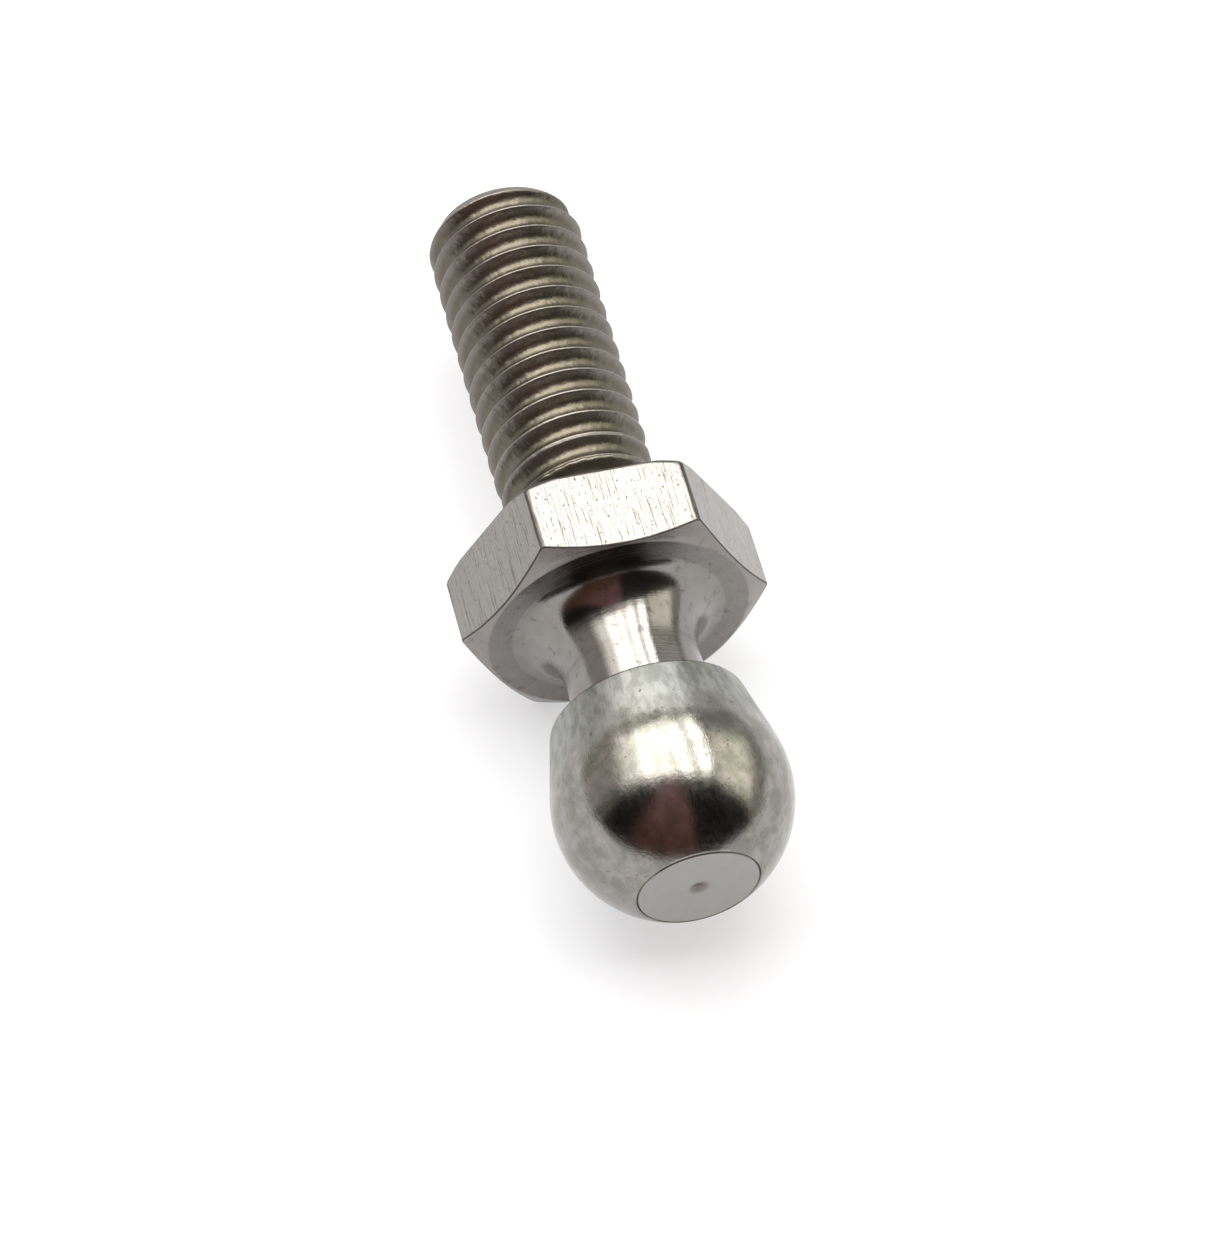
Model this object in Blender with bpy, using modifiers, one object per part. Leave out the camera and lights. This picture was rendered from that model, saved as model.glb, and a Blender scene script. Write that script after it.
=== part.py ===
"""Ball stud: a threaded shank, a hexagon collar and a necked spigot that carries a bored ball.

Metres, +Z up. The stud lies on one flat of its hexagon: its axis runs along X, with the
thread towards -X and the ball towards +X. The origin is under the middle of its length,
on the plane that the flat rests on.
"""

import math

import bmesh
import bpy
from mathutils import Matrix

MM = 0.001

# Thread: M6, 60 degree flanks, right-handed.
THREAD_MAJOR = 5.95 * MM
THREAD_PITCH = 1.0 * MM
THREAD_LENGTH = 15.8 * MM  # seat face of the hexagon to the tip
THREAD_DEPTH_PITCHES = 0.6134
CREST_FLAT_PITCHES = 0.125
THREAD_LEAD_IN = 0.31 * MM  # how far off the tip the groove starts
TIP_ABOVE_ROOT = 0.04 * MM  # the tip's chamfer starts this far outside the thread's root
RELIEF_BELOW_ROOT = 0.03 * MM
RELIEF_PITCHES = 2.05  # plain run-out groove between the last turn and the hexagon

# Hexagon collar.
HEX_ACROSS_FLATS = 10.0 * MM
HEX_THICKNESS = 3.4 * MM
HEX_CHAMFER_ANGLE = math.radians(30)
HEX_FRONT_CIRCLE = 9.8 * MM  # where the ball-side chamfer meets the flat face
HEX_SEAT_CIRCLE = 10.6 * MM  # the same on the thread side, which only trims the corners

# Neck and spigot.
NECK_DIAMETER = 5.0 * MM
NECK_FLARE_LENGTH = 2.2 * MM
NECK_FLARE_DIAMETER = 8.0 * MM  # where the flare runs out into the hexagon's face
SPIGOT_DIAMETER = 4.2 * MM
CENTRE_MARK_DIAMETER = 0.9 * MM
CENTRE_MARK_DEPTH = 0.25 * MM

# Ball: a sphere, a conical band that runs tangent from it to the rim, and a flat back.
BALL_DIAMETER = 8.7 * MM
BALL_BACK = 7.6 * MM  # seat face of the hexagon to the back of the ball
BALL_BACK_TO_CENTRE = 3.56 * MM
BALL_END_FLAT = 4.5 * MM  # sphere's diameter where the spigot's end lies level with it
BALL_BAND_ANGLE = math.radians(13.7)
BALL_RIM_ROUND = 0.2 * MM

FIT_GAP = 0.3 * MM  # between two pieces that touch on the real stud

TURNED_STEPS = 48
THREAD_STEPS = 24
GROOVE_TURN = math.radians(2.5)  # keeps the groove's edges off those of the turned shank
SPHERE_SEGMENTS = 18
ROUND_SEGMENTS = 6
FLARE_SEGMENTS = 8

THREAD_ROOT_RADIUS = THREAD_MAJOR / 2 - THREAD_DEPTH_PITCHES * THREAD_PITCH
NECK_RADIUS = NECK_DIAMETER / 2
HEX_CORNER_RADIUS = HEX_ACROSS_FLATS / math.sqrt(3)
BALL_RADIUS = BALL_DIAMETER / 2
BALL_CENTRE = BALL_BACK + BALL_BACK_TO_CENTRE
SPIGOT_END = BALL_CENTRE + math.sqrt(BALL_RADIUS**2 - (BALL_END_FLAT / 2) ** 2)
BORE_RADIUS = SPIGOT_DIAMETER / 2 + FIT_GAP
# The seat face's X, with the whole length centred on the origin.
SEAT_X = (THREAD_LENGTH - SPIGOT_END) / 2


def arc(centre_r, centre_x, radius, start, end, segments):
    """Points (r, x) on an arc, its angles measured from +r towards +x."""
    points = []
    for i in range(segments + 1):
        angle = start + (end - start) * i / segments
        points.append((centre_r + radius * math.cos(angle), centre_x + radius * math.sin(angle)))
    return points


def collection(name):
    made = bpy.data.collections.new(name)
    bpy.context.scene.collection.children.link(made)
    return made


def metal(name, colour, roughness):
    material = bpy.data.materials.new(name)
    material.use_nodes = True
    shader = material.node_tree.nodes["Principled BSDF"]
    shader.inputs["Base Color"].default_value = (*colour, 1.0)
    shader.inputs["Roughness"].default_value = roughness
    shader.inputs["Metallic"].default_value = 1.0
    return material


def along_x(obj):
    """Lays an object made about its local Z along the world's X, at the height of the axis."""
    obj.rotation_euler = (0.0, math.radians(90), 0.0)
    obj.location = (SEAT_X, 0.0, HEX_ACROSS_FLATS / 2)
    return obj


def profile_object(name, points, closed, where):
    """A profile of (r, x) points in the local XZ plane, as a mesh of edges."""
    mesh = bpy.data.meshes.new(name)
    edges = [(i, i + 1) for i in range(len(points) - 1)]
    if closed:
        edges.append((len(points) - 1, 0))
    mesh.from_pydata([(r, 0.0, x) for r, x in points], edges, [])
    obj = bpy.data.objects.new(name, mesh)
    where.objects.link(obj)
    return obj


def turned(name, points, where, closed=False):
    """A solid of revolution about the stud's axis, from a profile that runs from +X to -X."""
    obj = profile_object(name, points, closed, where)
    turn = obj.modifiers.new("Turn", "SCREW")
    turn.steps = TURNED_STEPS
    turn.render_steps = TURNED_STEPS
    turn.use_merge_vertices = True
    turn.merge_threshold = 0.000001
    return along_x(obj)


def hide_as_cutter(obj):
    obj.hide_render = True
    obj.display_type = "WIRE"
    return obj


def cut(obj, operation, other):
    boolean = obj.modifiers.new(other.name, "BOOLEAN")
    boolean.operation = operation
    boolean.solver = "EXACT"
    boolean.object = other


def spigot_profile():
    end_radius = SPIGOT_DIAMETER / 2
    return [
        (0.0, SPIGOT_END - CENTRE_MARK_DEPTH),
        (CENTRE_MARK_DIAMETER / 2, SPIGOT_END),
        (end_radius, SPIGOT_END),
        (end_radius, BALL_BACK - FIT_GAP),
    ]


def neck_profile():
    """The neck and its flare, a quarter of an ellipse that touches the neck and the hexagon."""
    foot = NECK_FLARE_DIAMETER / 2
    points = [(NECK_RADIUS, BALL_BACK - FIT_GAP)]
    for i in range(FLARE_SEGMENTS + 1):
        angle = math.pi / 2 * i / FLARE_SEGMENTS
        out = (foot - NECK_RADIUS) * (1 - math.cos(angle))
        down = NECK_FLARE_LENGTH * math.sin(angle)
        points.append((NECK_RADIUS + out, HEX_THICKNESS + NECK_FLARE_LENGTH - down))
    return points


def collar_profile():
    """A disc wider than the hexagon's corners, with the chamfer cones that trim them."""
    rim = HEX_CORNER_RADIUS * 1.06
    slope = math.tan(HEX_CHAMFER_ANGLE)
    front = HEX_FRONT_CIRCLE / 2
    seat = HEX_SEAT_CIRCLE / 2
    return [
        (front, HEX_THICKNESS),
        (rim, HEX_THICKNESS - (rim - front) * slope),
        (rim, (rim - seat) * slope),
        (seat, 0.0),
    ]


def shank_profile():
    major = THREAD_MAJOR / 2
    relief = THREAD_ROOT_RADIUS - RELIEF_BELOW_ROOT
    relief_end = RELIEF_PITCHES * THREAD_PITCH
    tip = THREAD_ROOT_RADIUS + TIP_ABOVE_ROOT
    return [
        (relief, 0.0),
        (relief, -relief_end),
        (major, -relief_end),
        (major, major - tip - THREAD_LENGTH),
        (tip, -THREAD_LENGTH),
        (0.0, -THREAD_LENGTH),
    ]


def thread_groove(where):
    """The helical groove between the thread's turns, from off the tip to inside the relief."""
    pitch = THREAD_PITCH
    root = THREAD_ROOT_RADIUS
    slope = math.tan(math.radians(30))
    half_mouth = (1 - CREST_FLAT_PITCHES) * pitch / 2
    half_root = half_mouth - THREAD_DEPTH_PITCHES * pitch * slope
    # The flanks run on a little way outside the thread, where two turns still don't touch.
    outside = THREAD_MAJOR / 2 + 0.09 * pitch
    half_outside = half_root + (outside - root) * slope
    start = -THREAD_LENGTH - THREAD_LEAD_IN
    section = [
        (outside, start + half_outside),
        (root, start + half_root),
        (root, start - half_root),
        (outside, start - half_outside),
    ]
    helix = profile_object("thread_groove_section", section, True, where)
    sweep = helix.modifiers.new("Helix", "SCREW")
    sweep.steps = THREAD_STEPS
    sweep.render_steps = THREAD_STEPS
    sweep.screw_offset = pitch
    # The last turn ends inside the relief and clear of the hexagon.
    sweep.iterations = math.floor((THREAD_LENGTH + THREAD_LEAD_IN - half_mouth) / pitch)
    evaluated = helix.evaluated_get(bpy.context.evaluated_depsgraph_get())
    mesh = bpy.data.meshes.new_from_object(evaluated)
    mesh.name = "thread_groove"
    bpy.data.objects.remove(helix)
    shape = bmesh.new()
    shape.from_mesh(mesh)
    bmesh.ops.holes_fill(shape, edges=[edge for edge in shape.edges if edge.is_boundary])
    bmesh.ops.recalc_face_normals(shape, faces=shape.faces)
    bmesh.ops.rotate(shape, matrix=Matrix.Rotation(GROOVE_TURN, 3, "Z"), verts=shape.verts)
    shape.to_mesh(mesh)
    shape.free()
    groove = bpy.data.objects.new("thread_groove", mesh)
    where.objects.link(groove)
    return hide_as_cutter(along_x(groove))


def hexagon_bar(where):
    """A hexagonal bar longer than the stud, with a flat down and a flat up."""
    length = 2.2 * (THREAD_LENGTH + SPIGOT_END)
    bpy.ops.mesh.primitive_cylinder_add(vertices=6, radius=HEX_CORNER_RADIUS, depth=length)
    bar = bpy.context.object
    bar.name = "hexagon_bar"
    for user in list(bar.users_collection):
        user.objects.unlink(bar)
    where.objects.link(bar)
    return hide_as_cutter(along_x(bar))


def build_stud(parts, cutters):
    profile = spigot_profile() + neck_profile() + collar_profile() + shank_profile()
    stud = turned("threaded_stud", profile, parts)
    cut(stud, "INTERSECT", hexagon_bar(cutters))
    cut(stud, "DIFFERENCE", thread_groove(cutters))
    stud.data.materials.append(metal("stud_steel", (0.33, 0.31, 0.29), 0.38))
    return stud


def ball_profile():
    """The ball's half-section, once round: sphere, band, rounded rim, back and bore."""
    radius = BALL_RADIUS
    band = BALL_BAND_ANGLE
    round_ = BALL_RIM_ROUND
    bore_edge = math.asin(math.sqrt(radius**2 - BORE_RADIUS**2) / radius)
    sphere = arc(0.0, BALL_CENTRE, radius, bore_edge, -band, SPHERE_SEGMENTS)
    tangent_r, tangent_x = sphere[-1]
    # The rim's round touches the band and the back face.
    round_x = BALL_BACK + round_
    band_r = tangent_r - (tangent_x - round_x) * math.tan(band)
    round_r = band_r - round_ / math.cos(band)
    rim = arc(round_r, round_x, round_, -band, -math.pi / 2, ROUND_SEGMENTS)
    return [*sphere, *rim, (BORE_RADIUS, BALL_BACK)]


def build_ball(parts):
    ball = turned("ball", ball_profile(), parts, closed=True)
    ball.data.materials.append(metal("ball_steel", (0.45, 0.44, 0.42), 0.3))
    return ball


def shade(obj):
    """Turned faces are smooth and the steps between them are sharp, as the modifiers leave them."""
    bpy.context.view_layer.update()
    evaluated = obj.evaluated_get(bpy.context.evaluated_depsgraph_get())
    finished = bpy.data.meshes.new_from_object(evaluated)
    finished.name = obj.name
    obj.modifiers.clear()
    obj.data = finished
    obj.data.shade_smooth()
    obj.data.set_sharp_from_angle(angle=math.radians(25))


def main():
    for obj in list(bpy.data.objects):
        bpy.data.objects.remove(obj)
    parts = collection("ball_stud")
    cutters = collection("cutters")
    shade(build_stud(parts, cutters))
    shade(build_ball(parts))


main()
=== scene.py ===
"""Looks of the ball stud: detailed meshes and metals for the threaded stud and its ball.

The axis runs along X at the height of half a hexagon. Sizes are in millimetres along the axis
from the hexagon's seat face (towards the ball is plus) and out from the axis, unless they say
otherwise. Angles about the axis start at +Y and turn towards +Z.
"""

import math

import bpy
import numpy as np
from mathutils import Matrix, Vector


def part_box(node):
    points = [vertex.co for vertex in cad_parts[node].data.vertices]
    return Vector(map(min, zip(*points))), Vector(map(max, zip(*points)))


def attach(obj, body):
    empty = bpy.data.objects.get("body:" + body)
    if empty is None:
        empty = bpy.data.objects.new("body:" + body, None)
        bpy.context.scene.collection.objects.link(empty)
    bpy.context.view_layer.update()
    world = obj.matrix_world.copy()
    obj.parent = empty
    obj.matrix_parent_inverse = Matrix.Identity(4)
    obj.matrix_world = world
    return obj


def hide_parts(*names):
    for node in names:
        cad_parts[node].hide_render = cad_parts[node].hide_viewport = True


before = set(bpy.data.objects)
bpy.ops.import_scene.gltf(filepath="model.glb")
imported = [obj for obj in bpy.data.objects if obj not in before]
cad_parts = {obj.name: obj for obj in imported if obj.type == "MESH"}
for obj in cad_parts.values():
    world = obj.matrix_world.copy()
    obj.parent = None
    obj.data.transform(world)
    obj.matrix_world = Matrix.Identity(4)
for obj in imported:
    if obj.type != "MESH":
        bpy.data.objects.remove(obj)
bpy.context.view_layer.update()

MM = 0.001

# The thread: a rolled M6.
THREAD_LENGTH = 15.8
MAJOR_RADIUS = 2.975
PITCH = 1.0
FLANK = math.radians(60)  # from the axis, half the thread's angle on either side of square
CREST_ROUND = 0.05
ROOT_ROUND = 0.38
CREST_SIDE = CREST_ROUND * math.sin(FLANK)  # where the crest's round meets the flank
ROOT_SIDE = PITCH / 2 - ROOT_ROUND * math.sin(FLANK)  # and where the flank meets the root's
FLANK_TOP = -CREST_ROUND * (1 - math.cos(FLANK))  # heights from the crest
FLANK_FOOT = FLANK_TOP - (ROOT_SIDE - CREST_SIDE) * math.tan(FLANK)
THREAD_DEPTH = ROOT_ROUND * (1 - math.cos(FLANK)) - FLANK_FOOT
ROOT_RADIUS = MAJOR_RADIUS - THREAD_DEPTH
FIRST_CREST = -14.357  # a crest's place where the angle is 0
TIP_X = -15.76
TIP_FACE_RADIUS = 1.8
TIP_DISH = 0.05  # how far its face is hollowed
DOME_LENGTH = 1.6  # the tip is rounded off: a quarter of an ellipse
DOME_RISE = 1.25
# The last turns weren't filled by the rolling: their crests are lower and wide, with a seam.
SHORT_START = -4.4
SHORT_END = -2.2
SHORT_DEPTH = 0.085
LONG_START = -9.0  # a slighter drop reaches further towards the tip
LONG_END = -4.0
LONG_DEPTH = 0.012
SEAM_START = -4.2
SEAM_END = -2.6
SEAM_HEIGHT = 0.03
FADE_START = -1.95  # where the crest's own place starts to fade into the relief
FADE_END = -1.42
SINK_START = -2.4  # where the root starts to sink to the relief
SINK_END = -1.6
RELIEF_RADIUS = 2.33
RELIEF_END = -0.75
SEAT_FILLET = 0.18

# The hexagon collar.
FLATS = 10.0
HEX_LENGTH = 3.4
HEX_EDGE_ROUND = 0.26
FRONT_RADIUS = 4.9  # where the front's chamfer starts
SEAT_RADIUS = 5.3  # where the seat side's chamfer starts
SEAT_FLAT_RADIUS = 4.6  # inside this the seat is dead flat
CHAMFER_SLOPE = math.tan(math.radians(30))
SCALLOP_ROUND = 0.075
SEAT_EDGE_ROUND = 0.16
HIGHEST_WAVE = 42  # the finest wobble, in waves round the axis

# The neck and the spigot.
NECK_RADIUS = 2.5
FLARE_LENGTH = 2.2
FLARE_RADIUS = 4.0
SPIGOT_RADIUS = 2.19
MARK_RADIUS = 0.42
MARK_DEPTH = 0.1
JOINT_GAP = 0.004  # between the swaged spigot and the bore

# The ball.
BALL_RADIUS = 4.35
BALL_BACK = 7.6
BALL_CENTRE = BALL_BACK + 3.56
BALL_BAND = math.radians(13.7)
BALL_RIM_ROUND = 0.2
BORE_RADIUS = 2.23
BORE_LIP = 0.05
END_RADIUS = 2.25  # the flat end is where the ball's surface has this radius
END_X = BALL_CENTRE + math.sqrt(BALL_RADIUS**2 - END_RADIUS**2)

# Where the seat face and the axis are in the frame.
LOW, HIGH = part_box("threaded_stud")
SEAT_X = LOW.x / MM + THREAD_LENGTH
AXIS_Z = (LOW.z + HIGH.z) / 2 / MM


# ---------------------------------------------------------------- meshes


def hex_columns():
    """Angles round the axis, closest together at the hexagon's six edges."""
    side = [0.0, 0.35, 0.7, 1.05, 1.5, 2.1, 3.0, 4.2, 5.6]
    side += list(np.linspace(7.4, 30.0, 10))
    half = np.radians(side)
    whole = np.concatenate([half, math.radians(60) - half[-2:0:-1]])
    return np.concatenate([whole + math.radians(60 * k) for k in range(6)])


def hexagon_radius(angle):
    """Distance from the axis to the hexagon, its edges rounded; flats face 30, 90, ... degrees."""
    flat = FLATS / 2
    turn = np.mod(angle, math.radians(60)) - math.radians(30)
    turn = np.abs(turn)
    radius = flat / np.cos(turn)
    start = math.atan((flat - HEX_EDGE_ROUND) * math.tan(math.radians(30)) / flat)
    centre = (flat - HEX_EDGE_ROUND) / math.cos(math.radians(30))
    off = math.radians(30) - turn
    inside = np.maximum(HEX_EDGE_ROUND**2 - (centre * np.sin(off)) ** 2, 0)
    rounded = centre * np.cos(off) + np.sqrt(inside)
    return np.where(turn > start, rounded, radius)


def smooth_min(a, b, width):
    """The lesser of two values, with a round of this width where they cross."""
    blend = np.clip(0.5 + 0.5 * (b - a) / width, 0, 1)
    return b * (1 - blend) + a * blend - width * blend * (1 - blend)


def smoothstep(low, high, value):
    t = np.clip((value - low) / (high - low), 0, 1)
    return t * t * (3 - 2 * t)


def waves(angle, x, seed, count):
    """A smooth, repeatable wobble in -1..1 that closes on itself round the axis."""
    random = np.random.default_rng(seed)
    total = 0
    for _ in range(count):
        turns = random.integers(3, HIGHEST_WAVE)
        shift = random.uniform(0, 2 * math.pi)
        along = random.uniform(2, 9)
        total = total + np.sin(turns * angle + along * x + shift)
    return total / count


class Surface:
    """A closed surface of rings round the axis, gathered ring by ring."""

    def __init__(self, columns):
        self.angles = columns
        self.count = len(columns)
        self.points = []
        self.faces = []
        self.slots = []
        self.total = 0
        self.last = None

    def add_points(self, x, radius, angle):
        x, radius, angle = np.broadcast_arrays(x, radius, angle)
        y = radius * np.cos(angle)
        z = radius * np.sin(angle) + AXIS_Z
        self.points.append(np.stack([x + SEAT_X, y, z], axis=-1).reshape(-1, 3))
        first = self.total
        self.total += x.size
        return np.arange(first, self.total).reshape(x.shape)

    def axis_point(self, x):
        return int(self.add_points(np.array([x]), 0.0, 0.0)[0])

    def join(self, a, b, slot):
        """Quads between two rings of vertex numbers."""
        for k in range(self.count):
            n = (k + 1) % self.count
            self.faces.append((a[k], b[k], b[n], a[n]))
            self.slots.append(slot)

    def ring(self, x, radius, slot):
        ids = self.add_points(x, radius, self.angles)
        if self.last is not None:
            self.join(self.last, ids, slot)
        self.last = ids
        return ids

    def cap(self, x, slot):
        """Closes the last ring with a fan to a point on the axis."""
        centre = self.axis_point(x)
        for k in range(self.count):
            n = (k + 1) % self.count
            self.faces.append((self.last[n], self.last[k], centre))
            self.slots.append(slot)
        self.last = None

    def open_with(self, x, radius, slot):
        """Starts with a fan from a point on the axis to a first ring."""
        centre = self.axis_point(x)
        ids = self.add_points(x, radius, self.angles)
        for k in range(self.count):
            n = (k + 1) % self.count
            self.faces.append((centre, ids[k], ids[n]))
            self.slots.append(slot)
        self.last = ids

    def make(self, name, materials):
        points = np.concatenate(self.points) * MM
        mesh = bpy.data.meshes.new(name)
        mesh.from_pydata(points.tolist(), [], [tuple(map(int, f)) for f in self.faces])
        for material in materials:
            mesh.materials.append(material)
        mesh.polygons.foreach_set("material_index", self.slots)
        mesh.shade_smooth()
        mesh.update()
        obj = bpy.data.objects.new(name, mesh)
        bpy.context.scene.collection.objects.link(obj)
        return obj


def arc(centre_x, centre_r, radius, start, end, count):
    """Points (x, r) on an arc, angles from +r towards +x."""
    turn = np.linspace(start, end, count)
    return [(centre_x + radius * math.sin(t), centre_r + radius * math.cos(t)) for t in turn]


def thread_section():
    """Half a pitch from crest to root: (distance from the crest's middle, height over the root)."""
    half = []
    for turn in np.radians([0, 22, 42, 60]):
        drop = CREST_ROUND * (1 - math.cos(turn))
        half.append((CREST_ROUND * math.sin(turn), THREAD_DEPTH - drop))
    half.append(((CREST_SIDE + ROOT_SIDE) / 2, THREAD_DEPTH + (FLANK_TOP + FLANK_FOOT) / 2))
    for turn in np.radians([60, 46, 33, 21, 10, 0]):
        half.append((PITCH / 2 - ROOT_ROUND * math.sin(turn), ROOT_ROUND * (1 - math.cos(turn))))
    return half


def thread_radius(x, u, base, angle):
    """Radius on the thread, from the place along the axis and the section's own values."""
    crest = x - u
    short = SHORT_DEPTH * smoothstep(SHORT_START, SHORT_END, crest)
    short = short + LONG_DEPTH * smoothstep(LONG_START, LONG_END, crest)
    lip = SEAM_HEIGHT * smoothstep(SEAM_START, SEAM_END, crest)
    wobble = waves(angle, crest, seed=5, count=7)
    top = THREAD_DEPTH - short
    wide = CREST_SIDE + short / math.tan(FLANK)
    # The seam is a shallow groove along the crest's middle, uneven from place to place.
    seam = lip * (1.1 * np.abs(u) / wide - 0.8 + 1.3 * wobble)
    height = smooth_min(base, top + np.where(np.abs(u) < wide, seam, 0), 0.012)
    height = height + 0.006 * wobble * smoothstep(THREAD_DEPTH - 0.1, THREAD_DEPTH, base)
    fade = 1 - smoothstep(FADE_START, FADE_END, crest)
    low = ROOT_RADIUS + (RELIEF_RADIUS - ROOT_RADIUS) * smoothstep(SINK_START, SINK_END, x)
    radius = low + height * fade
    t = np.clip((x - TIP_X) / DOME_LENGTH, 0, 1)
    dome = TIP_FACE_RADIUS + DOME_RISE * np.sqrt(t * (2 - t))
    return smooth_min(radius, dome, 0.04)


def add_thread(surface, slot):
    """A grid whose rows follow the helix, cut off square at the tip and in the relief."""
    half = thread_section()
    section = [(-u, h) for u, h in half[:0:-1]] + half[:-1]
    rows_per_turn = len(section)
    first_turn = -3
    turns = int(THREAD_LENGTH / PITCH) + 4
    u = np.tile([s[0] for s in section], turns)
    base = np.tile([s[1] for s in section], turns)
    turn = np.repeat(np.arange(turns) + first_turn, rows_per_turn)
    angles = surface.angles
    rows = FIRST_CREST + PITCH * turn + u
    x = rows[:, None] + PITCH * angles[None, :] / (2 * math.pi)
    close = 0.012  # a point this near to an end, or past it, moves onto it
    low = x < TIP_X + close
    high = x > RELIEF_END - close
    x = np.where(low, TIP_X, np.where(high, RELIEF_END, x))
    radius = thread_radius(x, u[:, None], base[:, None], angles[None, :])
    # The points that moved to an end become that end's own ring.
    tip_ring = surface.add_points(TIP_X, tip_radius(angles), angles)
    end_ring = surface.add_points(RELIEF_END, RELIEF_RADIUS, angles)
    ids = surface.add_points(x, radius, angles[None, :])
    ids = np.where(low, tip_ring[None, :], np.where(high, end_ring[None, :], ids))
    count = surface.count
    for j in range(len(u) - rows_per_turn - 1):
        for k in range(count):
            if k + 1 < count:
                face = (ids[j, k], ids[j, k + 1], ids[j + 1, k + 1], ids[j + 1, k])
            else:
                m = j + rows_per_turn
                face = (ids[j, k], ids[m, 0], ids[m + 1, 0], ids[j + 1, k])
            whole = list(dict.fromkeys(face))
            if len(whole) > 2:
                surface.faces.append(tuple(whole))
                surface.slots.append(slot)
    return tip_ring, end_ring


def tip_radius(angles):
    """The tip's edge: its dome, or the groove where the groove is deeper."""
    crest = (TIP_X - FIRST_CREST) / PITCH - angles / (2 * math.pi)
    u = (crest - np.round(crest)) * PITCH
    half = thread_section()
    base = np.interp(np.abs(u), [s[0] for s in half], [s[1] for s in half])
    return thread_radius(np.full_like(angles, TIP_X), u, base, angles)


def collar_rings(angles, front, turned, shaded_edge):
    """The hexagon's radius, the collar's rings (x, radius, slot) from its front to its sides, and
    where the sides start.
    """
    edge = hexagon_radius(angles)
    # The front face's band takes the front material, whose darker colour is a painted shade.
    rings = [(HEX_LENGTH, radius, front) for radius in (4.02, 4.3, 4.6, 4.86)]
    cone = math.radians(30)
    # The front's edge is softened where it turns into the chamfer.
    for t in (0.25, 0.75):
        x = HEX_LENGTH - 0.03 * (1 - math.cos(cone * t)) - 0.01 * t
        rings.append((x, FRONT_RADIUS - 0.015 + 0.05 * t, turned))
    jag = 0.012 * waves(angles, 0, seed=11, count=9)
    top = HEX_LENGTH - (edge - FRONT_RADIUS) * CHAMFER_SLOPE + jag
    # The rounded edge between the chamfer and the flats takes up a short way on both.
    reach = SCALLOP_ROUND * math.tan(math.radians(30))
    near = edge - reach * math.cos(cone)
    start = FRONT_RADIUS + 0.05
    for t in (0.35, 0.7, 0.97):
        radius = start + (near - start) * t
        x = HEX_LENGTH - (radius - FRONT_RADIUS) * CHAMFER_SLOPE + jag * t
        rings.append((x, radius, turned))
    # The scallop's round, past its first ring, takes the edge material, painted near black as
    # shade.
    centre_r = edge - SCALLOP_ROUND
    centre_x = top - reach
    for t in (0.0, 0.25, 0.5, 0.75, 1.0):
        turn = math.radians(60) * (1 - t)
        x = centre_x + SCALLOP_ROUND * math.sin(turn)
        radius = centre_r + SCALLOP_ROUND * math.cos(turn)
        rings.append((x, radius, shaded_edge if t > 0 else turned))
    return edge, rings, centre_x


def seat_curve(radius):
    """How far in from the seat plane the seat side's own chamfer lies at a radius."""
    past = radius - SEAT_RADIUS
    soft = 0.05
    curve = CHAMFER_SLOPE * 0.5 * (past + np.sqrt(past**2 + soft**2))
    return curve * (radius > SEAT_FLAT_RADIUS)


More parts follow.
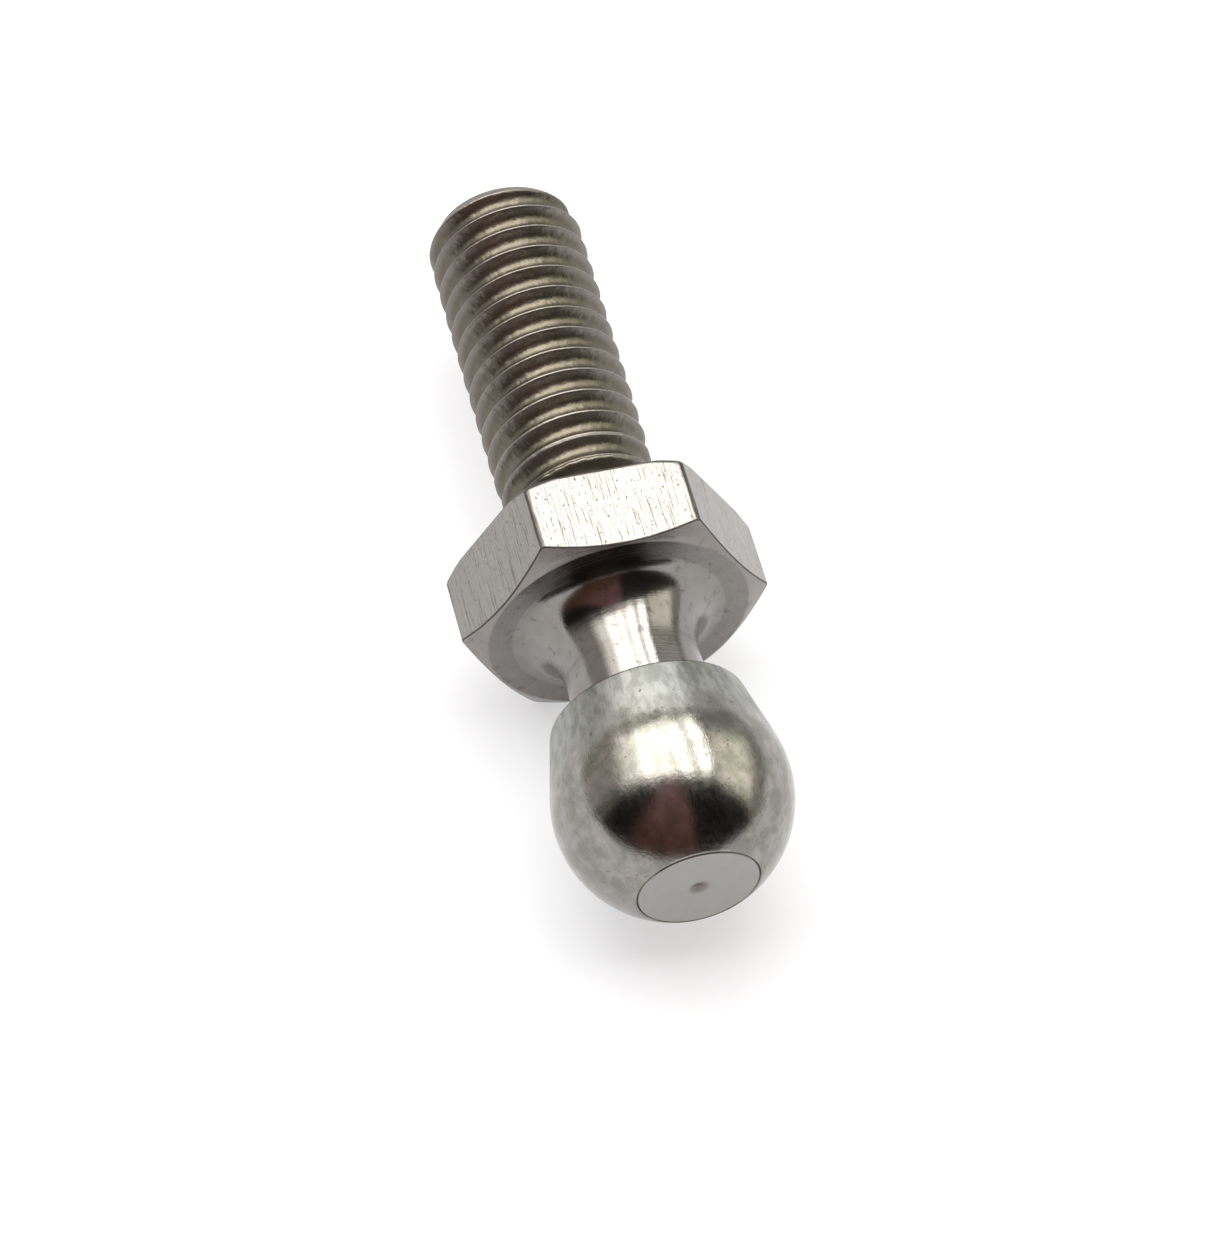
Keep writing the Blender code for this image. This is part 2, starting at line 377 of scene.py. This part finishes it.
def build_stud(materials):
    thread, flat, turned, neck, disc, joint, shaded_edge, front = range(8)
    surface = Surface(hex_columns())
    angles = surface.angles
    # The end of the spigot and its mark.
    surface.open_with(END_X - MARK_DEPTH, 0.08, disc)
    for t in np.linspace(0.2, 1.0, 6):
        depth = MARK_DEPTH * (1 - smoothstep(0.1, 1.0, t))
        surface.ring(END_X - depth, MARK_RADIUS * t, disc)
    for radius in np.linspace(MARK_RADIUS + 0.05, SPIGOT_RADIUS - 0.08, 12):
        surface.ring(END_X, radius, disc)
    for x, radius in arc(END_X - 0.03, SPIGOT_RADIUS - 0.03, 0.03, math.pi / 2, 0, 4):
        surface.ring(x, radius, disc)
    # The spigot is swaged out against the bore just below its end, so the joint is a fine line.
    surface.ring(END_X - 0.05, BORE_RADIUS - JOINT_GAP, joint)
    surface.ring(END_X - 0.09, BORE_RADIUS - JOINT_GAP, joint)
    for x in (END_X - 0.13, END_X - 0.4, END_X - 2.0, BALL_BACK + 1.0, BALL_BACK + 0.02):
        surface.ring(x, SPIGOT_RADIUS, neck)
    surface.ring(BALL_BACK - 0.02, NECK_RADIUS - 0.03, neck)
    for x in np.linspace(BALL_BACK - 0.05, HEX_LENGTH + FLARE_LENGTH, 14):
        surface.ring(x, NECK_RADIUS, neck)
    for t in np.linspace(0, math.pi / 2, 36)[1:]:
        radius = NECK_RADIUS + (FLARE_RADIUS - NECK_RADIUS) * (1 - math.cos(t))
        surface.ring(HEX_LENGTH + FLARE_LENGTH * (1 - math.sin(t)), radius, neck)
    edge, rings, side_top = collar_rings(angles, front, turned, shaded_edge)
    for x, radius, slot in rings:
        surface.ring(x, radius, slot)
    # The sides, down to the seat's edge.
    bottom = seat_curve(edge)
    low = bottom + SEAT_EDGE_ROUND
    for t in (0.015, 0.1, 0.3, 0.5, 0.7, 0.9, 0.985):
        surface.ring(side_top + (low - side_top) * t, edge, flat)
    # The seat's rounded edge, past 15 degrees, takes the edge material, painted near black as
    # shade.
    for degrees in (0, 15, 30, 45, 60, 75, 88):
        turn = math.radians(degrees)
        radius = edge - SEAT_EDGE_ROUND * (1 - math.cos(turn))
        x = low - SEAT_EDGE_ROUND * math.sin(turn)
        x = x - (bottom - seat_curve(radius)) * math.sin(turn)
        surface.ring(x, radius, shaded_edge if degrees > 15 else flat)
    inner = edge - SEAT_EDGE_ROUND
    for t in (0.04, 0.1, 0.2, 0.35, 0.55, 0.75, 1.0):
        radius = inner + (RELIEF_RADIUS + SEAT_FILLET + 0.03 - inner) * t
        surface.ring(seat_curve(radius), radius, turned)
    for x, radius in arc(
        -SEAT_FILLET, RELIEF_RADIUS + SEAT_FILLET, SEAT_FILLET, math.pi / 2, math.pi, 6
    ):
        surface.ring(x, radius, turned)
    tip_ring, end_ring = add_thread(surface, thread)
    for x in (-0.4, -0.6):
        surface.ring(x, RELIEF_RADIUS, thread)
    surface.join(surface.last, end_ring, thread)
    # The tip's end face.
    surface.last = tip_ring
    edge = tip_radius(angles)
    for t in (0.985, 0.94, 0.8, 0.6, 0.4, 0.2):
        surface.ring(TIP_X + TIP_DISH * (1 - t) ** 2, edge * t, disc)
    surface.cap(TIP_X + TIP_DISH, disc)
    return surface.make("threaded_stud_body", materials)


def build_ball(material):
    """A closed profile turned about the axis: bore, sphere, band, rim, back and bore again."""
    surface = Surface(np.linspace(0, 2 * math.pi, 288, endpoint=False))
    bore_edge = math.asin(math.sqrt(BALL_RADIUS**2 - (BORE_RADIUS + BORE_LIP) ** 2) / BALL_RADIUS)
    profile = [(END_X - 0.4, BORE_RADIUS), (END_X - 0.12, BORE_RADIUS)]
    lip_x = BALL_CENTRE + BALL_RADIUS * math.sin(bore_edge)
    profile += [(lip_x - 0.04, BORE_RADIUS + 0.004), (lip_x - 0.012, BORE_RADIUS + 0.018)]
    profile += arc(BALL_CENTRE, 0, BALL_RADIUS, bore_edge, -BALL_BAND, 96)
    tangent_x, tangent_r = profile[-1]
    round_x = BALL_BACK + BALL_RIM_ROUND
    band_r = tangent_r - (tangent_x - round_x) * math.tan(BALL_BAND)
    round_r = band_r - BALL_RIM_ROUND / math.cos(BALL_BAND)
    for t in np.linspace(0, 1, 16)[1:-1]:
        x = tangent_x + (round_x - tangent_x) * t
        profile.append((x, tangent_r + (band_r - tangent_r) * t))
    profile += arc(round_x, round_r, BALL_RIM_ROUND, -BALL_BAND, -math.pi / 2, 10)
    profile += [(BALL_BACK, round_r - 0.05), (BALL_BACK, 2.9), (BALL_BACK, BORE_RADIUS + 0.05)]
    profile += [(BALL_BACK + 0.05, BORE_RADIUS), (BALL_BACK + 1.0, BORE_RADIUS)]
    first = None
    for x, radius in profile:
        ids = surface.ring(x, radius, 0)
        first = ids if first is None else first
    surface.join(surface.last, first, 0)
    return surface.make("pressed_ball", [material])


# ---------------------------------------------------------------- materials


TOOL_MARKS = 7.0  # per millimetre


class Nodes:
    """Small helper for building a metal from nodes."""

    def __init__(self, name):
        self.material = bpy.data.materials.new(name)
        self.material.use_nodes = True
        self.tree = self.material.node_tree
        self.shader = self.tree.nodes["Principled BSDF"]
        self.shader.inputs["Metallic"].default_value = 1.0
        self.place = self.tree.nodes.new("ShaderNodeTexCoord").outputs["Object"]
        self.heights = []

    def link(self, a, b):
        self.tree.links.new(a, b)

    def node(self, kind, **values):
        made = self.tree.nodes.new(kind)
        for key, value in values.items():
            setattr(made, key, value)
        return made

    def mapped(self, scale, shift=(0, 0, 0)):
        """The place on the object, in millimetres times a scale per axis."""
        made = self.node("ShaderNodeMapping")
        made.inputs["Scale"].default_value = [s / MM for s in scale]
        made.inputs["Location"].default_value = shift
        self.link(self.place, made.inputs["Vector"])
        return made.outputs["Vector"]

    def math(self, operation, a, b=0.0, c=None):
        made = self.node("ShaderNodeMath", operation=operation)
        for socket, value in zip(made.inputs, (a, b) if c is None else (a, b, c)):
            if isinstance(value, (int, float)):
                socket.default_value = value
            else:
                self.link(value, socket)
        return made.outputs[0]

    def noise(self, vector, detail, rough=0.55):
        made = self.node("ShaderNodeTexNoise")
        made.inputs["Scale"].default_value = 1.0
        made.inputs["Detail"].default_value = detail
        made.inputs["Roughness"].default_value = rough
        self.link(vector, made.inputs["Vector"])
        return made.outputs["Fac"]

    def step(self, value, low, high):
        made = self.node("ShaderNodeMapRange", interpolation_type="SMOOTHSTEP")
        made.inputs["From Min"].default_value = low
        made.inputs["From Max"].default_value = high
        self.link(value, made.inputs["Value"])
        return made.outputs["Result"]

    def axes(self):
        """Millimetres along the axis, and across and up from it."""
        parts = self.node("ShaderNodeSeparateXYZ")
        self.link(self.mapped((1, 1, 1)), parts.inputs[0])
        up = self.math("SUBTRACT", parts.outputs["Z"], AXIS_Z)
        return parts.outputs["X"], parts.outputs["Y"], up

    def radius(self):
        """Distance from the axis and place along it, in millimetres."""
        along, across, up = self.axes()
        square = self.math("MULTIPLY_ADD", across, across, self.math("MULTIPLY", up, up))
        return self.math("SQRT", square), along

    def edge_angle(self):
        """The angle about the axis to the nearest of the hexagon's edges, in radians."""
        _, across, up = self.axes()
        return self.math("PINGPONG", self.math("ARCTAN2", up, across), math.radians(30))

    def brushed(self, amount):
        """Spreads highlights along the axis, as fine marks round a turned surface do."""
        tangent = self.node("ShaderNodeTangent", direction_type="RADIAL", axis="X")
        self.link(tangent.outputs[0], self.shader.inputs["Tangent"])
        self.shader.inputs["Anisotropic"].default_value = amount
        self.shader.inputs["Anisotropic Rotation"].default_value = 0.25

    def rings(self, value, scale):
        """A 1-D noise of one value: turning marks."""
        made = self.node("ShaderNodeTexNoise", noise_dimensions="1D")
        made.inputs["Scale"].default_value = scale
        made.inputs["Detail"].default_value = 4.0
        made.inputs["Roughness"].default_value = 0.7
        self.link(value, made.inputs["W"])
        return made.outputs["Fac"]

    def ramp(self, value, low, high):
        """A grey from low to high, as the value goes from 0.3 to 0.7."""
        made = self.node("ShaderNodeValToRGB")
        for element, place, grey in zip(made.color_ramp.elements, (0.3, 0.7), (low, high)):
            element.position = place
            element.color = (grey, grey, grey, 1)
        self.link(value, made.inputs["Fac"])
        return made.outputs["Color"]

    def mix(self, factor, a, b):
        made = self.node("ShaderNodeMix", data_type="RGBA")
        self.link(factor, made.inputs["Factor"])
        for name, value in (("A", a), ("B", b)):
            if isinstance(value, tuple):
                made.inputs[name].default_value = (*value, 1)
            else:
                self.link(value, made.inputs[name])
        return made.outputs["Result"]

    def bump(self, height, distance):
        """Adds a relief of this many millimetres."""
        made = self.node("ShaderNodeBump")
        made.inputs["Strength"].default_value = 1.0
        made.inputs["Distance"].default_value = distance * MM
        self.link(height, made.inputs["Height"])
        if self.heights:
            self.link(self.heights[-1], made.inputs["Normal"])
        self.heights.append(made.outputs["Normal"])

    def finish(self, colour, roughness):
        self.link(colour, self.shader.inputs["Base Color"])
        if isinstance(roughness, (int, float)):
            self.shader.inputs["Roughness"].default_value = roughness
        else:
            self.link(roughness, self.shader.inputs["Roughness"])
        if self.heights:
            self.link(self.heights[-1], self.shader.inputs["Normal"])
        return self.material


def thread_metal():
    """Rolled brownish steel, its crests painted lighter than its grooves: a painted highlight."""
    n = Nodes("rolled_thread_steel")
    radius, _ = n.radius()
    cloud = n.noise(n.mapped((0.9, 1.2, 1.2)), 4)
    lump = n.noise(n.mapped((2.4, 3.2, 3.2)), 2, 0.5)
    grain = n.noise(n.mapped((12, 12, 12)), 2)
    colour = n.mix(cloud, (0.112, 0.1, 0.078), (0.172, 0.154, 0.124))
    # A painted highlight: a lighter colour on the crests, the grooves left darker.
    crest = n.step(radius, MAJOR_RADIUS - 0.3, MAJOR_RADIUS - 0.02)
    colour = n.mix(crest, colour, (0.235, 0.215, 0.198))
    n.bump(lump, 0.042)
    n.bump(grain, 0.0015)
    rough = n.ramp(n.noise(n.mapped((3, 3, 3)), 3), 0.34, 0.44)
    return n.finish(colour, rough)


def flat_metal():
    """The drawn bar's own surface: scratches along it, small pits, and a painted shade as a dark
    line along its edges.
    """
    n = Nodes("drawn_hexagon_steel")
    streak = n.noise(n.mapped((0.22, 7, 7)), 5, 0.7)
    scratch = n.step(n.noise(n.mapped((0.5, 16, 16), (3, 0, 0)), 3, 0.6), 0.33, 0.43)
    fine = n.noise(n.mapped((0.9, 34, 34)), 3, 0.6)
    cloud = n.noise(n.mapped((0.8, 1.1, 1.1)), 4, 0.6)
    pits = n.step(n.noise(n.mapped((6, 9, 9)), 4, 0.7), 0.32, 0.4)
    colour = n.mix(streak, (0.212, 0.2, 0.187), (0.345, 0.33, 0.31))
    colour = n.mix(scratch, (0.172, 0.158, 0.146), colour)
    colour = n.mix(pits, (0.15, 0.136, 0.122), colour)
    # A painted shade: a thin dark line along the hexagon's rounded edges.
    wander = n.math("MULTIPLY_ADD", n.math("SUBTRACT", cloud, 0.5), 0.03, n.edge_angle())
    edge = n.step(wander, 0.014, 0.022)
    colour = n.mix(edge, (0.115, 0.105, 0.095), colour)
    n.bump(streak, 0.016)
    n.bump(scratch, 0.004)
    n.bump(fine, 0.003)
    n.bump(pits, 0.008)
    rough = n.ramp(streak, 0.18, 0.29)
    return n.finish(colour, rough)


def turned_metal(name, low, high, rough_low, rough_high, depth=0.004, along_axis=0.0):
    """Turned steel; along_axis spreads its highlights along the axis, across the tool marks."""
    n = Nodes(name)
    radius, along = n.radius()
    line = n.rings(n.math("ADD", radius, along), TOOL_MARKS)
    cloud = n.noise(n.mapped((1.5, 1.5, 1.5)), 4)
    stain = n.step(n.noise(n.mapped((2.3, 2.3, 2.3), (4, 1, 2)), 5, 0.65), 0.54, 0.72)
    colour = n.mix(cloud, low, high)
    colour = n.mix(stain, colour, tuple(c * 0.72 for c in low))
    n.bump(line, depth)
    n.bump(n.noise(n.mapped((12, 12, 12)), 3), 0.003)
    if along_axis:
        n.brushed(along_axis)
    rough = n.ramp(line, rough_low, rough_high)
    return n.finish(colour, rough)


def disc_metal():
    """The faced end of the spigot, stained about its centre mark."""
    n = Nodes("faced_end_steel")
    radius, _ = n.radius()
    cloud = n.noise(n.mapped((1.1, 1.1, 1.1)), 4)
    colour = n.mix(cloud, (0.28, 0.27, 0.252), (0.37, 0.368, 0.352))
    ragged = n.math("MULTIPLY_ADD", n.math("SUBTRACT", cloud, 0.5), 0.3, radius)
    colour = n.mix(n.step(ragged, 0.2, MARK_RADIUS + 0.08), (0.19, 0.172, 0.15), colour)
    n.bump(n.rings(radius, 9.0), 0.003)
    n.bump(n.noise(n.mapped((12, 12, 12)), 3), 0.003)
    return n.finish(colour, n.ramp(cloud, 0.34, 0.42))


def joint_metal():
    """The fine line where the swaged spigot meets the bore."""
    n = Nodes("joint_line_steel")
    patch = n.noise(n.mapped((2.5, 2.5, 2.5)), 3)
    colour = n.mix(patch, (0.13, 0.12, 0.108), (0.36, 0.345, 0.32))
    return n.finish(colour, 0.5)


def edge_metal():
    """The collar's scalloped edge and its seat's edge, painted near black: a painted shade."""
    n = Nodes("edge_painted_shade_steel")
    patch = n.noise(n.mapped((3, 3, 3)), 3)
    colour = n.mix(patch, (0.06, 0.052, 0.045), (0.16, 0.15, 0.14))
    n.bump(n.noise(n.mapped((14, 14, 14)), 2), 0.006)
    return n.finish(colour, n.ramp(patch, 0.45, 0.6))


def ball_metal():
    """Tumbled satin steel, matte and smeared on the band beside the neck, with a painted shade as a
    dark line on the rim by the neck.
    """
    n = Nodes("satin_ball_steel")
    along, _, _ = n.axes()
    cloud = n.noise(n.mapped((0.9, 0.9, 0.9)), 4)
    mottle = n.noise(n.mapped((2.2, 2.2, 2.2)), 5, 0.65)
    fibre = n.noise(n.mapped((2.4, 9, 9)), 4, 0.65)
    grain = n.noise(n.mapped((16, 16, 16)), 3)
    speck = n.step(n.noise(n.mapped((4.5, 4.5, 4.5)), 3), 0.29, 0.34)
    start = SEAT_X + BALL_BACK
    wander = n.math("MULTIPLY_ADD", n.math("SUBTRACT", cloud, 0.5), 2.6, along)
    band = n.step(wander, start + 2.9, start + 1.5)
    tint = n.noise(n.mapped((1.4, 1.4, 1.4), (2, 7, 3)), 5, 0.6)
    colour = n.mix(n.step(tint, 0.36, 0.64), (0.2, 0.205, 0.172), (0.33, 0.307, 0.292))
    colour = n.mix(n.step(mottle, 0.3, 0.7), n.mix(cloud, colour, (0.22, 0.21, 0.195)), colour)
    stain = n.step(n.noise(n.mapped((1.7, 1.7, 1.7), (5, 2, 1)), 5, 0.6), 0.52, 0.72)
    colour = n.mix(stain, colour, (0.2, 0.19, 0.165))
    smear = n.step(n.noise(n.mapped((1.0, 2.6, 2.6), (3, 5, 1)), 5, 0.6), 0.34, 0.66)
    matte = n.mix(smear, (0.235, 0.242, 0.226), (0.37, 0.38, 0.362))
    colour = n.mix(band, colour, matte)
    colour = n.mix(speck, (0.16, 0.145, 0.13), colour)
    # A painted shade: a dark line on the ball's rim beside the neck, where the gap between neck and
    # ball falls dark.
    rim = n.step(along, start + 0.14, start + 0.05)
    colour = n.mix(rim, colour, (0.075, 0.065, 0.055))
    n.bump(grain, 0.003)
    n.bump(fibre, 0.004)
    n.bump(n.math("MULTIPLY", smear, band), 0.006)
    n.brushed(0.75)
    rough = n.ramp(fibre, 0.12, 0.19)
    rough = n.mix(band, rough, (0.42, 0.42, 0.42))
    return n.finish(colour, rough)


# ---------------------------------------------------------------- the stage


FLOOR_COLOUR = (0.36, 0.363, 0.385)
FLOOR_GLOW = 0.56  # the floor is a light table
FLOOR_SIDE = 1.5  # metres from the middle to each side
BACKGROUND = (0.97, 0.97, 0.97)

# What the metal mirrors.
WARM_WALL = (0.66, 0.62, 0.58)
COOL_WALL = (0.56, 0.56, 0.53)  # from +Y round to -X
SOFTBOX = (6.2, 6.1, 5.8)
PANEL = (2.0, 1.95, 1.7)
CLOTH = (0.022, 0.019, 0.017)
BROWN_LOW = (0.15, 0.075, 0.05)
BROWN_HIGH = (0.3, 0.15, 0.145)
# The softbox's strips: brightness at degrees of roll, from -Y to +Y, with soft gaps between.
STRIPS_FROM = -60
STRIPS_TO = 45
STRIPS = [
    (-56, 0.0),
    (-46, 0.25),
    (-41, 0.42),
    (-37, 0.3),
    (-30, 0.65),
    (-27, 1.0),
    (-18, 1.0),
    (-15, 0.55),
    (-12, 0.9),
    (-5, 0.95),
    (-2, 0.5),
    (1, 0.6),
    (5, 1.0),
    (13, 1.0),
    (16, 0.3),
    (19, 0.3),
    (23, 1.0),
    (31, 1.0),
    (34, 0.0),
]


def floor_material(name):
    material = bpy.data.materials.new(name)
    material.use_nodes = True
    shader = material.node_tree.nodes["Principled BSDF"]
    shader.inputs["Base Color"].default_value = (*FLOOR_COLOUR, 1)
    shader.inputs["Roughness"].default_value = 0.9
    shader.inputs["Specular IOR Level"].default_value = 0.0
    shader.inputs["Emission Color"].default_value = (1.0, 1.0, 1.0, 1.0)
    shader.inputs["Emission Strength"].default_value = FLOOR_GLOW
    return material


def direction(azimuth, elevation):
    """A unit vector, azimuth from +X towards +Y, in degrees."""
    a, e = math.radians(azimuth), math.radians(elevation)
    return Vector((math.cos(e) * math.cos(a), math.cos(e) * math.sin(a), math.sin(e)))


class Sky:
    """The studio's light as a function of direction: soft patches on plain walls."""

    def __init__(self, name):
        self.world = bpy.data.worlds.new(name)
        self.world.use_nodes = True
        self.tree = self.world.node_tree
        self.tree.nodes.clear()
        place = self.tree.nodes.new("ShaderNodeTexCoord").outputs["Generated"]
        unit = self.tree.nodes.new("ShaderNodeVectorMath")
        unit.operation = "NORMALIZE"
        self.tree.links.new(place, unit.inputs[0])
        parts = self.tree.nodes.new("ShaderNodeSeparateXYZ")
        self.tree.links.new(unit.outputs[0], parts.inputs[0])
        x, y, z = parts.outputs
        # Degrees: round the object's axis from overhead towards +Y, and tilt towards +X.
        self.roll = self.degrees(self.math("ARCTAN2", y, z))
        self.tilt = self.degrees(self.math("ARCSINE", x))
        self.azimuth = self.degrees(self.math("ARCTAN2", y, x))
        self.elevation = self.degrees(self.math("ARCSINE", z))

    def math(self, operation, *values):
        made = self.tree.nodes.new("ShaderNodeMath")
        made.operation = operation
        for socket, value in zip(made.inputs, values):
            if isinstance(value, (int, float)):
                socket.default_value = value
            else:
                self.tree.links.new(value, socket)
        return made.outputs[0]

    def degrees(self, radians):
        return self.math("MULTIPLY", radians, 180 / math.pi)

    def step(self, value, low, high):
        made = self.tree.nodes.new("ShaderNodeMapRange")
        made.interpolation_type = "SMOOTHSTEP"
        made.inputs["From Min"].default_value = low
        made.inputs["From Max"].default_value = high
        self.tree.links.new(value, made.inputs["Value"])
        return made.outputs["Result"]

    def between(self, value, low, high, soft):
        up = self.step(value, low - soft / 2, low + soft / 2)
        down = self.step(value, high + soft / 2, high - soft / 2)
        return self.math("MULTIPLY", up, down)

    def wander(self, value, scale, amount):
        """The value moved to and fro by up to about this much, by a 1-D noise of the roll."""
        made = self.tree.nodes.new("ShaderNodeTexNoise")
        made.noise_dimensions = "1D"
        made.inputs["Scale"].default_value = scale
        made.inputs["Detail"].default_value = 3.0
        self.tree.links.new(self.roll, made.inputs["W"])
        off = self.math("SUBTRACT", made.outputs["Fac"], 0.5)
        return self.math("MULTIPLY_ADD", off, 2 * amount, value)

    def both(self, *masks):
        total = masks[0]
        for mask in masks[1:]:
            total = self.math("MULTIPLY", total, mask)
        return total

    def profile(self, value, low, high, stops):
        """A brightness that follows stops of (value, brightness)."""
        share = self.math("DIVIDE", self.math("SUBTRACT", value, low), high - low)
        made = self.tree.nodes.new("ShaderNodeValToRGB")
        elements = made.color_ramp.elements
        while len(elements) < len(stops):
            elements.new(0.5)
        for element, (place, grey) in zip(elements, stops):
            element.position = (place - low) / (high - low)
            element.color = (grey, grey, grey, 1)
        self.tree.links.new(share, made.inputs["Fac"])
        return made.outputs["Color"]

    def mix(self, mask, a, b):
        made = self.tree.nodes.new("ShaderNodeMix")
        made.data_type = "RGBA"
        for name, value in (("Factor", mask), ("A", a), ("B", b)):
            if isinstance(value, tuple):
                made.inputs[name].default_value = (*value, 1)
            else:
                self.tree.links.new(value, made.inputs[name])
        return made.outputs["Result"]

    def finish(self, colour, seen):
        """Light of this colour; the camera itself sees a plain background behind the floor."""
        lit = self.tree.nodes.new("ShaderNodeBackground")
        self.tree.links.new(colour, lit.inputs["Color"])
        plain = self.tree.nodes.new("ShaderNodeBackground")
        plain.inputs["Color"].default_value = (*seen, 1)
        ray = self.tree.nodes.new("ShaderNodeLightPath")
        either = self.tree.nodes.new("ShaderNodeMixShader")
        self.tree.links.new(ray.outputs["Is Camera Ray"], either.inputs[0])
        self.tree.links.new(lit.outputs[0], either.inputs[1])
        self.tree.links.new(plain.outputs[0], either.inputs[2])
        out = self.tree.nodes.new("ShaderNodeOutputWorld")
        self.tree.links.new(either.outputs[0], out.inputs["Surface"])
        bpy.context.scene.world = self.world


def build_light():
    """A softbox of soft strips overhead, a dimmer panel beside it, and dark cloth in front."""
    sky = Sky("studio")
    light = sky.mix(sky.step(sky.azimuth, 60, 110), WARM_WALL, COOL_WALL)
    # The softbox's strips run along the object's axis, and their ends are ragged.
    strips = sky.profile(sky.roll, STRIPS_FROM, STRIPS_TO, STRIPS)
    ends = sky.wander(sky.tilt, 0.22, 12.0)
    box = sky.both(strips, sky.between(ends, -47, 11, 8))
    light = sky.mix(box, light, SOFTBOX)
    panel = sky.both(sky.between(sky.roll, 38, 74, 10), sky.between(sky.tilt, -26, 24, 14))
    light = sky.mix(panel, light, PANEL)
    # The dark cloth's upper edge is ragged, and lower on the +Y side.
    edge = sky.math("SUBTRACT", sky.tilt, sky.math("MULTIPLY", sky.roll, 0.23))
    edge = sky.wander(edge, 0.3, 9.0)
    cloth = sky.both(sky.step(edge, 6, 10), sky.step(sky.elevation, -8, 5))
    cloth = sky.both(cloth, sky.step(sky.azimuth, -100, -76))
    light = sky.mix(cloth, light, CLOTH)
    # Its middle is brown.
    brown = sky.mix(sky.step(sky.elevation, 12, 45), BROWN_LOW, BROWN_HIGH)
    middle = sky.both(cloth, sky.between(sky.azimuth, -50, 6, 9))
    light = sky.mix(middle, light, brown)
    sky.finish(light, BACKGROUND)


def build_stage():
    mesh = bpy.data.meshes.new("floor")
    side = FLOOR_SIDE
    corners = [(-side, -side, 0), (side, -side, 0), (side, side, 0), (-side, side, 0)]
    mesh.from_pydata(corners, [], [(0, 1, 2, 3)])
    mesh.materials.append(floor_material("pale_floor"))
    floor = bpy.data.objects.new("floor", mesh)
    bpy.context.scene.collection.objects.link(floor)
    build_light()
    bpy.context.scene.view_settings.view_transform = "Standard"


# The camera: where it stands from the point that it looks at.
VIEW_AIM = (3.4746, -0.3549, 5.0)  # in the frame, millimetres
VIEW_AZIMUTH = -17.003
VIEW_ELEVATION = 55.498
VIEW_ROLL = 3.59
VIEW_DISTANCE = 160.86
LENS = 129.08


def build_camera():
    data = bpy.data.cameras.new("camera")
    data.lens = LENS
    data.sensor_width = 36.0
    data.clip_start = 0.01
    data.clip_end = 10.0
    camera = bpy.data.objects.new("camera", data)
    bpy.context.scene.collection.objects.link(camera)
    away = direction(VIEW_AZIMUTH, VIEW_ELEVATION)
    camera.location = Vector(VIEW_AIM) * MM + away * VIEW_DISTANCE * MM
    turn = away.to_track_quat("Z", "Y").to_matrix() @ Matrix.Rotation(
        math.radians(VIEW_ROLL), 3, "Z"
    )
    camera.rotation_euler = turn.to_euler()
    bpy.context.scene.camera = camera


# ---------------------------------------------------------------- the scene

neck_low = (0.2, 0.186, 0.172)
neck_high = (0.285, 0.272, 0.258)
# In the order of build_stud's slots.
stud_metals = [
    thread_metal(),
    flat_metal(),
    turned_metal("turned_collar_steel", (0.23, 0.212, 0.2), (0.285, 0.268, 0.256), 0.24, 0.32),
    turned_metal("turned_neck_steel", neck_low, neck_high, 0.12, 0.18, 0.006, 0.85),
    disc_metal(),
    joint_metal(),
    # The edges' material: a painted shade, near black.
    edge_metal(),
    # The front face's band: darker colours as a painted shade.
    turned_metal("faced_collar_steel_painted_shade", (0.18, 0.166, 0.154), (0.24, 0.225, 0.212), 0.2, 0.3),
]
stud = build_stud(stud_metals)
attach(stud, "root")
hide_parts("threaded_stud")

ball = build_ball(ball_metal())
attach(ball, "root")
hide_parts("ball")

build_stage()
build_camera()
